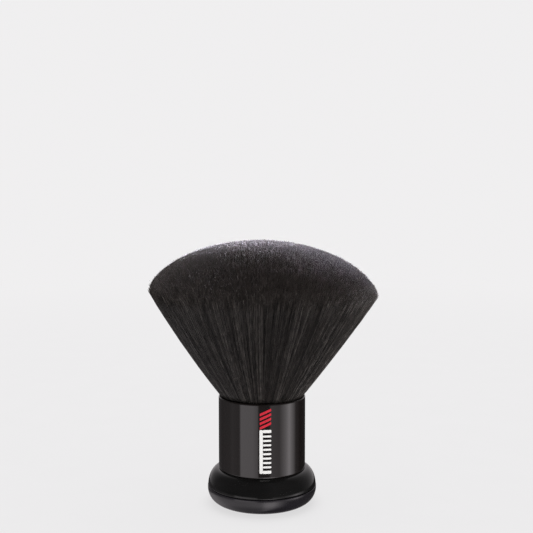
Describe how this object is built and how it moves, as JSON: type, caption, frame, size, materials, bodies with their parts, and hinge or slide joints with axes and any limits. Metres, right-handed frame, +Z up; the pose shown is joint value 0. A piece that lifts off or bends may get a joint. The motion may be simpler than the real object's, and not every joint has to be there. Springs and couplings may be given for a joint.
{
  "type": "neck duster brush",
  "caption": "Stand-up neck duster brush: a wide domed fan of dark filaments in a short gloss ferrule on a weighted round foot.",
  "frame": {"origin": "centre of the foot's flat underside, on the table", "axes": "+Z up along the brush's axis of symmetry, from the foot to the filament tips; X and Y are alike, as every piece is turned about Z"},
  "size_m": [0.0988, 0.0988, 0.1153],
  "materials": {
    "foot_plastic": "gloss black moulded plastic",
    "ballast_steel": "turned mild steel",
    "core_plastic": "gloss black moulded plastic",
    "ferrule_lacquer": "gloss black lacquer on drawn aluminium",
    "cup_plastic": "plain moulded plastic",
    "resin": "clear amber set resin",
    "band_aluminium": "crimped aluminium strip",
    "filament": "fine crimped synthetic filament, near black"
  },
  "bodies": {
    "root": {"foot_cap": "foot_plastic", "ballast_disc": "ballast_steel", "handle_core": "core_plastic", "ferrule": "ferrule_lacquer", "knot_cup": "cup_plastic", "resin_plug": "resin", "root_band": "band_aluminium", "bristle_head": "filament"}
  },
  "joints": []
}
